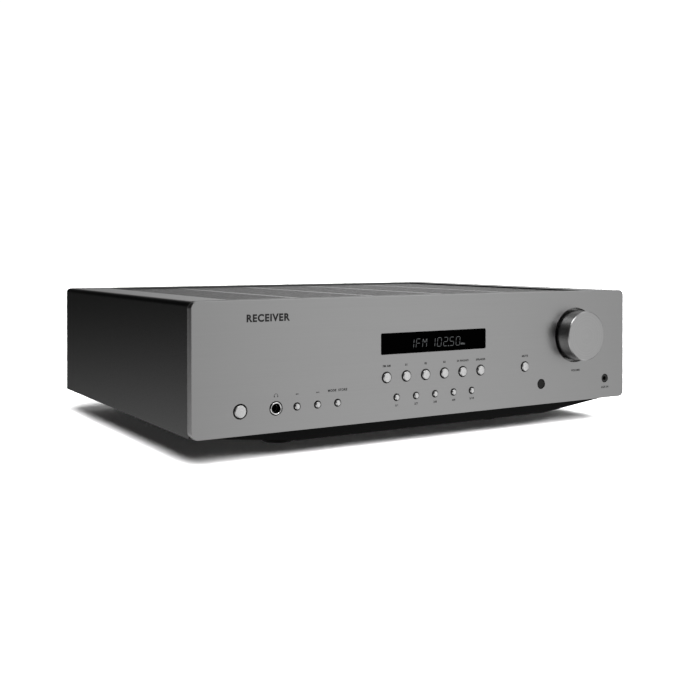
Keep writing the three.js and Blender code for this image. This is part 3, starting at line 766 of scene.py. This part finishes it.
def front_print():
    parts = []
    for text, x, z, height in LABELS:
        place = (x * MM, panel_low.z + z * MM, height * MM, panel_face)
        parts.append(lettering(text, *place, weight=WORD_WEIGHT))
    for name, x, z, _, _ in buttons():
        kind, _, number = name.rpartition("_button_")
        if kind == "source":
            text = SOURCES[int(number) - 1]
            place = (x, z + LABEL_RISE, SMALL_PRINT, panel_face)
            parts.append(lettering(text, *place, weight=WORD_WEIGHT))
        if kind == "preset":
            text = f"{number}/{int(number) + 5}"
            place = (x, z - LABEL_DROP, SMALL_PRINT, panel_face)
            parts.append(lettering(text, *place, weight=WORD_WEIGHT))
        if name == "previous_button":
            parts += skip_mark(x, z + SYMBOL_RISE, -1)
        if name == "next_button":
            parts += skip_mark(x, z + SYMBOL_RISE, 1)
    parts += headphone_mark(ring_x, ring_z + SYMBOL_RISE)
    piece("front_print", together(parts), looks["ink"])


front_print()

# ---------------------------------------------------------------- top cover

COVER_BEND = 4 * MM
VENT_SETBACK = 4.9 * MM  # from the cover's front edge to the vent field
VENT_BACK = 26 * MM  # from the vent field to the cover's back
VENT_HALF = 180 * MM
VENT_DROP = 1.4 * MM
STEP_WIDTH = 1.35 * MM  # of the pressed step, seen from above
VENT_CORNER = 3 * MM
SLOT_LENGTH = 66 * MM
SLOT_WIDTH = 4.6 * MM
SLOT_COLUMNS = 5
SLOT_COLUMN_PITCH = 72 * MM
SLOT_ROWS = 32
SLOT_ROW_PITCH = 8.5 * MM
LIP = 14 * MM

cover_low, cover_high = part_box("top_cover")
vent_front = cover_low.y + VENT_SETBACK
vent_back = cover_high.y - VENT_BACK


def vent_outline(inset):
    corner = VENT_CORNER - min(inset, VENT_CORNER * 0.9)
    half = VENT_HALF - inset
    return rectangle(-half, half, vent_front + inset, vent_back - inset, corner, steps=6)


def cover_walls():
    """The folded sheet, with the vent field's opening cut out of its top."""
    half = cover_high.x
    top = cover_high.z
    bottom = cover_low.z
    inner = COVER_BEND - SHEET
    outline = [
        (half, bottom),
        (half, top, COVER_BEND),
        (-half, top, COVER_BEND),
        (-half, bottom),
        (-half + SHEET, bottom),
        (-half + SHEET, top - SHEET, inner),
        (half - SHEET, top - SHEET, inner),
        (half - SHEET, bottom),
    ]
    shell = facing_plate(softened(outline, steps=8)[::-1], [], cover_low.y, cover_high.y, 0.2 * MM)
    cutter = lying_plate(vent_outline(0), [], top - 4 * SHEET, top + SHEET, 0.01 * MM)
    return cut(shell, cutter)


def cut(mesh, cutter):
    """The first mesh with the second taken away."""
    holders = [bpy.data.objects.new("cut", m) for m in (mesh, cutter)]
    for holder in holders:
        bpy.context.scene.collection.objects.link(holder)
    knife = holders[0].modifiers.new("knife", "BOOLEAN")
    knife.operation = "DIFFERENCE"
    knife.solver = "EXACT"
    knife.object = holders[1]
    graph = bpy.context.evaluated_depsgraph_get()
    result = bpy.data.meshes.new_from_object(holders[0].evaluated_get(graph))
    for holder in holders:
        bpy.data.objects.remove(holder)
    return result


def vent_step():
    """The pressed step between the top and the vent field, as a sheet of constant thickness."""
    top = cover_high.z
    upper = [
        (0, 0),
        (0.35 * MM, 0.1 * MM),
        (1.0 * MM, VENT_DROP - 0.1 * MM),
        (STEP_WIDTH, VENT_DROP),
    ]
    lower = [(STEP_WIDTH, VENT_DROP + SHEET), (0.3 * MM, VENT_DROP + SHEET), (0, SHEET)]
    rings = []
    for inset, drop in upper + lower:
        rings.append([(u, v, top - drop) for u, v in vent_outline(inset)])
    return loops(rings)


def vent_field():
    top = cover_high.z - VENT_DROP
    first_row = (vent_front + vent_back - (SLOT_ROWS - 1) * SLOT_ROW_PITCH) / 2
    slots = []
    for column in range(SLOT_COLUMNS):
        x = (column - (SLOT_COLUMNS - 1) / 2) * SLOT_COLUMN_PITCH
        for row in range(SLOT_ROWS):
            y = first_row + row * SLOT_ROW_PITCH
            slots.append(stadium(x, y, SLOT_LENGTH, SLOT_WIDTH))
    return lying_plate(vent_outline(STEP_WIDTH), slots, top - SHEET, top, 0.1 * MM)


def cover():
    outline = rectangle(
        cover_low.x + SHEET, cover_high.x - SHEET, cover_high.z - LIP, cover_high.z - SHEET, MM
    )
    lip = facing_plate(outline, [], cover_high.y - SHEET, cover_high.y)
    mesh = together([cover_walls(), vent_step(), vent_field(), lip])
    piece("cover_shell", mesh, looks["cover"], nodes=["top_cover"])


cover()

# ---------------------------------------------------------------- feet


def feet():
    for name in sorted(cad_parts):
        if not name.startswith("foot_"):
            continue
        low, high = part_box(name)
        middle = (low + high) / 2
        radius = (high.x - low.x) / 2
        corners = [
            (0, low.z + 0.6 * MM),
            (3.2 * MM, low.z + 0.6 * MM),
            (3.8 * MM, low.z, 0.3 * MM),
            (radius - 1.4 * MM, low.z, 1.2 * MM),
            (radius, low.z + 2.4 * MM, 1.2 * MM),
            (radius - MM, high.z),
            (0, high.z),
        ]
        mesh = upright(softened(corners, closed=False), middle.x, middle.y)
        piece(f"{name}_moulded", mesh, looks["rubber"], nodes=[name])


feet()

# ---------------------------------------------------------------- rear

rear_low, rear_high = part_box("rear_panel")
rear_face = rear_high.y
phono_low, phono_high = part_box("line_sockets")
speaker_low, speaker_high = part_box("speaker_terminals")
inlet_low, inlet_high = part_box("mains_inlet")
aerial_low, aerial_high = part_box("tuner_module")
earth_x, earth_z, earth_radius = middle_and_radius(*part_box("earth_screw"))
PHONO_COLUMNS = 7
PHONO_PITCH = 15 * MM
PHONO_RISE = 7.5 * MM
PHONO_RADIUS = 4.2 * MM
TOWER_HALF = 6 * MM
TOWER_HEIGHT = 28 * MM
connector_face = rear_face + GAP
phono_z = (phono_low.z + phono_high.z) / 2
phono_x = [phono_low.x + 7 * MM + i * PHONO_PITCH for i in range(PHONO_COLUMNS)]
aerial_x = aerial_high.x - 15 * MM
aerial_z = (aerial_low.z + aerial_high.z) / 2


def rear_panel():
    frame_width = 3 * MM
    flange = 4 * MM
    holes = [
        rectangle(
            x - TOWER_HALF - GAP,
            x + TOWER_HALF + GAP,
            phono_z - TOWER_HEIGHT / 2 - GAP,
            phono_z + TOWER_HEIGHT / 2 + GAP,
            0.3 * MM,
            2,
        )
        for x in phono_x
    ]
    holes.append(framed(speaker_low, speaker_high, -frame_width, 2 * MM))
    holes.append(
        rectangle(
            inlet_low.x + flange - GAP,
            inlet_high.x - flange + GAP,
            inlet_low.z + frame_width - GAP,
            inlet_high.z - frame_width + GAP,
            0.3 * MM,
            2,
        )
    )
    holes.append(disc(aerial_x, aerial_z, 6.3 * MM))
    holes.append(disc(earth_x, earth_z, 2.4 * MM))
    outer = framed(rear_low, rear_high, 0, 2 * MM)
    mesh = facing_plate(outer, holes, rear_low.y, rear_high.y)
    piece("rear_plate", mesh, looks["rear"], nodes=["rear_panel"])


def phono_sockets():
    block_low = (phono_low.x, phono_low.y, phono_low.z)
    bar = block(block_low, (phono_high.x, rear_low.y - GAP, phono_high.z))
    towers = []
    sleeves = []
    inserts = {"white": [], "red": []}
    end = phono_high.y
    for x in phono_x:
        towers.append(
            block(
                (x - TOWER_HALF, rear_low.y - MM, phono_z - TOWER_HEIGHT / 2),
                (x + TOWER_HALF, connector_face, phono_z + TOWER_HEIGHT / 2),
            )
        )
        for colour, z in (("white", phono_z + PHONO_RISE), ("red", phono_z - PHONO_RISE)):
            inner = PHONO_RADIUS - 0.5 * MM
            sleeve = [
                (inner, end, 0.15 * MM),
                (PHONO_RADIUS, end, 0.15 * MM),
                (PHONO_RADIUS, connector_face + 1.2 * MM),
                (5.2 * MM, connector_face + 1.2 * MM, 0.3 * MM),
                (5.2 * MM, connector_face - 0.5 * MM),
                (inner, connector_face - 0.5 * MM),
            ]
            sleeves.append(turned(softened(sleeve), x, z, 48))
            insert = [
                (1.7 * MM, end - 0.9 * MM, 0.15 * MM),
                (inner, end - 0.9 * MM),
                (inner, connector_face),
                (1.7 * MM, connector_face),
            ]
            inserts[colour].append(turned(softened(insert), x, z, 48))
            centre = [
                (0.9 * MM, end - 1.6 * MM, 0.15 * MM),
                (1.65 * MM, end - 1.6 * MM, 0.15 * MM),
                (1.65 * MM, connector_face),
                (0.9 * MM, connector_face),
            ]
            sleeves.append(turned(softened(centre), x, z, 32))
    body = together([bar] + towers)
    piece("phono_block", body, looks["plastic"], nodes=["line_sockets"])
    piece("phono_sleeves", together(sleeves), looks["zinc"])
    piece("phono_inserts_left", together(inserts["white"]), looks["white"])
    piece("phono_inserts_right", together(inserts["red"]), looks["red"])


def speaker_housing():
    flange_top = connector_face + 1.6 * MM
    wall = 6 * MM
    pocket = framed(speaker_low, speaker_high, -wall, 2 * MM)
    floor = connector_face - 10 * MM
    outer = framed(speaker_low, speaker_high, 0, 3 * MM)
    flange = facing_plate(outer, [pocket], connector_face, flange_top, 0.3 * MM)
    skin = 2 * MM
    tub_outer = framed(speaker_low, speaker_high, skin - wall, 2 * MM)
    tub = facing_plate(tub_outer, [pocket], floor, connector_face, 0.1 * MM)
    bottom = facing_plate(tub_outer, [], floor - skin, floor, 0.1 * MM)
    caps = [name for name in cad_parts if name.startswith("terminal_cap_")]
    studs = []
    for name in sorted(caps):
        x, z, _ = middle_and_radius(*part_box(name))
        stud = [
            (0, floor),
            (6 * MM, floor),
            (6 * MM, floor + 2 * MM, 0.3 * MM),
            (2.4 * MM, floor + 2 * MM),
            (2.4 * MM, speaker_high.y, 0.4 * MM),
            (0, speaker_high.y),
        ]
        studs.append(turned(softened(stud, closed=False), x, z, 48))
    body = together([flange, tub, bottom])
    piece("speaker_tub", body, looks["plastic"], nodes=["speaker_terminals"])
    piece("speaker_studs", together(studs), looks["zinc"])


def terminal_caps():
    """Fluted caps; a groove near the back end separates the grip from its collar."""
    bore = 2.65 * MM
    for name in sorted(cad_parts):
        if not name.startswith("terminal_cap_"):
            continue
        low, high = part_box(name)
        x, z, radius = middle_and_radius(low, high)
        collar = low.y + 3 * MM
        profile = [
            (bore, low.y),
            (radius - 0.8 * MM, low.y),
            (radius - 0.2 * MM, low.y + 0.6 * MM),
            (radius - 0.2 * MM, collar),
            (radius - 0.9 * MM, collar + 0.3 * MM),
            (radius - 0.9 * MM, collar + 0.8 * MM),
            (radius, collar + 1.4 * MM, True),
            (radius, high.y - 1.2 * MM, True),
            (radius - 0.35 * MM, high.y - 0.4 * MM, True),
            (radius - 1.0 * MM, high.y),
            (bore + 0.6 * MM, high.y),
            (bore, high.y - 0.5 * MM),
        ]
        mesh = turned(profile, x, z, segments=96, flutes=16, depth=0.7 * MM)
        colour = "red" if name.endswith("plus") else "black"
        look = looks["red"] if colour == "red" else looks["plastic"]
        piece(f"{name}_fluted", mesh, look, body=name, nodes=[name])


def earth_terminal():
    low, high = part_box("earth_screw")
    shank = 1.9 * MM
    start = connector_face + MM
    profile = [
        (0, low.y),
        (shank, low.y),
        (shank, start),
        (earth_radius - 0.5 * MM, start),
        (earth_radius, start + 0.6 * MM, True),
        (earth_radius, high.y - 0.6 * MM, True),
        (earth_radius - 0.6 * MM, high.y),
        (0, high.y),
    ]
    mesh = turned(profile, earth_x, earth_z, segments=120, flutes=30, depth=0.35 * MM)
    name = "earth_screw"
    piece(f"{name}_knurled", mesh, looks["zinc"], body=name, nodes=[name])


def tuner_can():
    can = block(aerial_low, (aerial_high.x, rear_low.y - GAP, aerial_high.z), 0.5 * MM)
    end = aerial_high.y
    socket = [
        (3.7 * MM, end, 0.15 * MM),
        (4.7 * MM, end, 0.3 * MM),
        (4.7 * MM, connector_face + MM),
        (6 * MM, connector_face + MM, 0.2 * MM),
        (6 * MM, rear_low.y - MM),
        (3.7 * MM, rear_low.y - MM),
    ]
    nose = turned(softened(socket), aerial_x, aerial_z, 56)
    insulator_end = end - 6 * MM
    insulator = [
        (1.2 * MM, insulator_end),
        (3.7 * MM, insulator_end),
        (3.7 * MM, rear_face),
        (1.2 * MM, rear_face),
    ]
    piece("tuner_can", together([can, nose]), looks["zinc"], nodes=["tuner_module"])
    mesh = turned(insulator, aerial_x, aerial_z, 48)
    piece("aerial_insulator", mesh, looks["white"])


def mains_moulding():
    """The inlet's mouth and the rocker's well in one moulding, with three metal pins."""
    x = (inlet_low.x + inlet_high.x) / 2
    flange_side = 4 * MM
    flange_end = 3 * MM
    wall = 1.5 * MM
    left = inlet_low.x + flange_side
    right = inlet_high.x - flange_side
    low = inlet_low.z + flange_end
    high = inlet_high.z - flange_end
    mouth_height = 20 * MM
    mouth_z = low + mouth_height / 2
    side = (right - left) / 2 - wall
    rim = mouth_height / 2 - wall
    chamfer = 4 * MM
    soft = 0.8 * MM
    mouth = softened(
        [
            (x - side, mouth_z - rim, soft),
            (x + side, mouth_z - rim, soft),
            (x + side, mouth_z + rim - chamfer, soft),
            (x + side - chamfer, mouth_z + rim, soft),
            (x - side + chamfer, mouth_z + rim, soft),
            (x - side, mouth_z + rim - chamfer, soft),
        ]
    )
    rocker_low, rocker_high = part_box("power_switch_rocker")
    well_half = (rocker_high.x - rocker_low.x) / 2 + GAP
    well_top = high - MM
    well_bottom = high - 20 * MM
    well = rectangle(x - well_half, x + well_half, well_bottom, well_top, 0.5 * MM)
    outer = framed(inlet_low, inlet_high, 0, 3 * MM)
    flange = facing_plate(outer, [mouth, well], connector_face, connector_face + 2 * MM, 0.35 * MM)
    body = rectangle(left, right, low, high, 0.5 * MM)
    mouth_floor = connector_face - 18 * MM
    well_floor = connector_face - 10 * MM
    shallow = facing_plate(body, [mouth, well], well_floor, connector_face, 0.05 * MM)
    deep = facing_plate(body, [mouth], mouth_floor, well_floor, 0.05 * MM)
    back = facing_plate(body, [], inlet_low.y, mouth_floor, 0.2 * MM)
    moulding = together([flange, shallow, deep, back])
    piece("mains_moulding", moulding, looks["plastic"], nodes=["mains_inlet"])
    pins = []
    for u, v in ((-7, -2), (0, 2), (7, -2)):
        pins.append(
            block(
                (x + (u - 1) * MM, mouth_floor - MM, mouth_z + (v - 2) * MM),
                (x + (u + 1) * MM, connector_face - 3 * MM, mouth_z + (v + 2) * MM),
                0.4 * MM,
            )
        )
    piece("mains_pins", together(pins), looks["chrome"])


rear_panel()
phono_sockets()
speaker_housing()
terminal_caps()
earth_terminal()
tuner_can()
mains_moulding()

# ---------------------------------------------------------------- screws and rear print

SCREW_RADIUS = 2.9 * MM
SCREW_HEIGHT = 1.5 * MM
WASHER_HEIGHT = 0.4 * MM
LIP_SCREWS = (-0.19, -0.06, 0.06, 0.19)
PANEL_SCREWS = (-0.2, -0.11, 0.04, 0.13, 0.2)


def screw_head(x, z, base):
    """A cross-headed screw that faces the back: a ring of metal round a cross-shaped recess."""
    arm = 1.7 * MM
    half = 0.4 * MM
    cross = [(arm, half), (half, half), (half, arm), (-half, arm), (-half, half), (-arm, half)]
    cross += [(-u, -v) for u, v in cross]
    recess = [(x + u, z + v) for u, v in cross]
    top = base + WASHER_HEIGHT
    outline = disc(x, z, SCREW_RADIUS, 40)
    head = facing_plate(outline, [recess], top, base + SCREW_HEIGHT, 0.12 * MM)
    rim = disc(x, z, SCREW_RADIUS + 0.4 * MM, 40)
    washer = facing_plate(rim, [], base, top, 0.1 * MM)
    return [head, washer]


def rear_screws():
    """Screws that hold the cover's lip, the rear panel and the connectors."""
    screws = []
    edge = 8 * MM
    for x in LIP_SCREWS:
        screws += screw_head(x, cover_high.z - LIP / 2, cover_high.y)
    for x in PANEL_SCREWS:
        screws += screw_head(x, rear_low.z + edge, rear_face)
    for x in (phono_x[0] + phono_x[1], phono_x[5] + phono_x[6]):
        screws += screw_head(x / 2, phono_z - 20 * MM, rear_face)
    for z in (aerial_z + 16 * MM, aerial_z - 16 * MM):
        screws += screw_head(aerial_x, z, rear_face)
    piece("rear_screws", together(screws), looks["zinc"])


REAR_PRINT_HEIGHT = 2.4 * MM
SPEAKER_LABEL_GAP = 5 * MM
SPEAKER_LABELS = (("R +", -76), ("-", -48), ("-", -20), ("+ L", 8))  # text, X in millimetres


def rear_print():
    parts = []

    def label(text, x, z):
        parts.append(lettering(text, x, z, REAR_PRINT_HEIGHT, rear_face, REAR_FACING))

    for i, x in enumerate(phono_x):
        label(str(i + 1), x, phono_z + TOWER_HEIGHT / 2 + 4 * MM)
    for text, z in (("L", phono_z + PHONO_RISE), ("R", phono_z - PHONO_RISE)):
        label(text, phono_x[0] - 11 * MM, z)
    for bank in ("a", "b"):
        _, z, _ = middle_and_radius(*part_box(f"terminal_cap_{bank}_left_plus"))
        label(bank.upper(), speaker_low.x - SPEAKER_LABEL_GAP, z)
    for text, x in SPEAKER_LABELS:
        label(text, x * MM, speaker_low.z - SPEAKER_LABEL_GAP)
    piece("rear_print", together(parts), looks["pale_ink"])


rear_screws()
rear_print()

# ---------------------------------------------------------------- CAD nodes that still show

CARRIED = {
    "base_pan": ("base", 0.35),
    "display_module": ("plastic", 0.3),
    "encoder_shaft": ("zinc", 0.2),
    "volume_encoder": ("zinc", 0.2),
    "front_board": ("board", 0.1),
    "main_board": ("board", 0.2),
    "input_board": ("board", 0.2),
    "toroidal_transformer": ("winding", 1.5),
    "transformer_clamp": ("zinc", 0.3),
    "heatsink": ("heatsink", 0.15),
    "reservoir_capacitor_left": ("sleeve", 0.4),
    "reservoir_capacitor_right": ("sleeve", 0.4),
    "power_switch_rocker": ("plastic", 0.4),
}
for i in range(1, 5):
    CARRIED[f"output_transistor_{i}"] = ("plastic", 0.2)


def carried_nodes():
    """Gives each CAD node that still shows its finish, and rounds its edges."""
    for name, (look, rim) in CARRIED.items():
        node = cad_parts[name]
        node.data.materials.clear()
        node.data.materials.append(looks[look])
        soft = node.modifiers.new("rounded_edges", "BEVEL")
        soft.width = rim * MM
        soft.segments = 2
        soft.limit_method = "ANGLE"
        soft.angle_limit = radians(30)
        soft.harden_normals = True


carried_nodes()

# ---------------------------------------------------------------- floor, light and camera

FLOOR_LIGHT = 13.5
FLOOR_SKY_SPREAD = 64
FLOOR_SKY_TILT = 36
FLOOR_GLOW = 0.017  # what the deepest shadow still shows


def floor():
    """The white floor and the sun that lights only it; the object doesn't see the floor."""
    work = bmesh.new()
    bmesh.ops.create_grid(work, x_segments=1, y_segments=1, size=20)
    mesh = bpy.data.meshes.new("floor")
    work.to_mesh(mesh)
    work.free()
    made = bpy.data.objects.new("floor", mesh)
    paper = simple_finish(
        "floor_paper",
        0.86,
        0.9,
        (0.8, 0.9),
        30,
        0.002 * MM,
        Specular_IOR_Level=0.1,
        Emission_Color=(1, 1, 1, 1),
        Emission_Strength=FLOOR_GLOW,
    )
    mesh.materials.append(paper)
    made.visible_diffuse = False
    made.visible_glossy = False
    lit_floor = bpy.data.collections.new("lit_floor")
    bpy.context.scene.collection.children.link(lit_floor)
    lit_floor.objects.link(made)
    sky = bpy.data.lights.new("floor_sky", "SUN")
    sky.energy = FLOOR_LIGHT
    sky.angle = radians(FLOOR_SKY_SPREAD)
    lamp = bpy.data.objects.new("floor_sky", sky)
    lamp.rotation_euler.x = radians(FLOOR_SKY_TILT)
    lamp.light_linking.receiver_collection = lit_floor
    bpy.context.scene.collection.objects.link(lamp)


KEY_PLACE = Vector((-0.3, -1.2, 1.6))
KEY_TARGET = Vector((0.05, -0.1, 0.06))
KEY_SIZE = 0.7
KEY_POWER = 9


def key_light():
    """A soft lamp above and in front of the object."""
    lamp = bpy.data.lights.new("key_light", "AREA")
    lamp.shape = "RECTANGLE"
    lamp.size = lamp.size_y = KEY_SIZE
    lamp.energy = KEY_POWER
    made = bpy.data.objects.new("key_light", lamp)
    made.location = KEY_PLACE
    made.rotation_euler = (KEY_TARGET - KEY_PLACE).to_track_quat("-Z", "Y").to_euler()
    bpy.context.scene.collection.objects.link(made)


SEEN_STRENGTH = 1.05  # enough for the background to show as plain white


def surroundings():
    """The background is seen as plain white; the object is lit by smooth gradients instead, dark on
    the left and pale on the right, with a faint low glow on the far left."""
    world = bpy.data.worlds.new("surroundings")
    world.use_nodes = True
    tree = world.node_tree
    links = tree.links

    def add(kind, **inputs):
        made = tree.nodes.new(kind)
        for key, value in inputs.items():
            if isinstance(value, bpy.types.NodeSocket):
                links.new(value, made.inputs[key.replace("_", " ")])
            else:
                made.inputs[key.replace("_", " ")].default_value = value
        return made

    def ramp(source, low, high, dark, light):
        made = add("ShaderNodeMapRange", Value=source)
        made.interpolation_type = "SMOOTHSTEP"
        values = {"From Min": low, "From Max": high, "To Min": dark, "To Max": light}
        for key, value in values.items():
            made.inputs[key].default_value = value
        return made.outputs[0]

    def times(first, second):
        made = add("ShaderNodeMath")
        made.operation = "MULTIPLY"
        links.new(first, made.inputs[0])
        links.new(second, made.inputs[1])
        return made.outputs[0]

    way = add("ShaderNodeTexCoord").outputs["Generated"]
    split = add("ShaderNodeSeparateXYZ", Vector=way)
    rise = ramp(split.outputs["X"], 0.0, 0.58, 0.02, 1.3)
    fall = ramp(split.outputs["X"], 0.56, 0.9, 1.0, 0.25)
    depth = ramp(split.outputs["Y"], 0.2, 0.95, 1.0, 0.8)
    left = ramp(split.outputs["X"], -0.5, 0.0, 1.0, 0.0)
    left_low = times(left, ramp(split.outputs["Z"], -0.28, -0.05, 1.2, 0.0))
    strength = add("ShaderNodeMath")
    links.new(times(times(rise, fall), depth), strength.inputs[0])
    links.new(left_low, strength.inputs[1])
    lit = tree.nodes["Background"]
    lit.inputs["Color"].default_value = (1, 1, 1, 1)
    links.new(strength.outputs[0], lit.inputs["Strength"])
    seen = add("ShaderNodeBackground", Color=(1, 1, 1, 1), Strength=SEEN_STRENGTH)
    mix = tree.nodes.new("ShaderNodeMixShader")
    links.new(add("ShaderNodeLightPath").outputs["Is Camera Ray"], mix.inputs[0])
    links.new(lit.outputs[0], mix.inputs[1])
    links.new(seen.outputs[0], mix.inputs[2])
    links.new(mix.outputs[0], tree.nodes["World Output"].inputs["Surface"])
    bpy.context.scene.world = world


CAMERA_PLACE = (-0.48636, -0.81008, 0.15479)
CAMERA_PITCH = -0.339  # in degrees; below zero looks down
CAMERA_YAW = -31.622  # in degrees; below zero looks to the right of straight back
CAMERA_LENS = 51.09
CAMERA_SHIFT = -0.1309


def camera():
    data = bpy.data.cameras.new("camera")
    data.lens = CAMERA_LENS
    data.sensor_width = 36
    data.shift_y = CAMERA_SHIFT
    data.clip_end = 100
    made = bpy.data.objects.new("camera", data)
    made.location = CAMERA_PLACE
    made.rotation_euler = (radians(90 + CAMERA_PITCH), 0, radians(CAMERA_YAW))
    bpy.context.scene.collection.objects.link(made)
    bpy.context.scene.camera = made


floor()
key_light()
surroundings()
camera()
bpy.context.scene.view_settings.view_transform = "Standard"
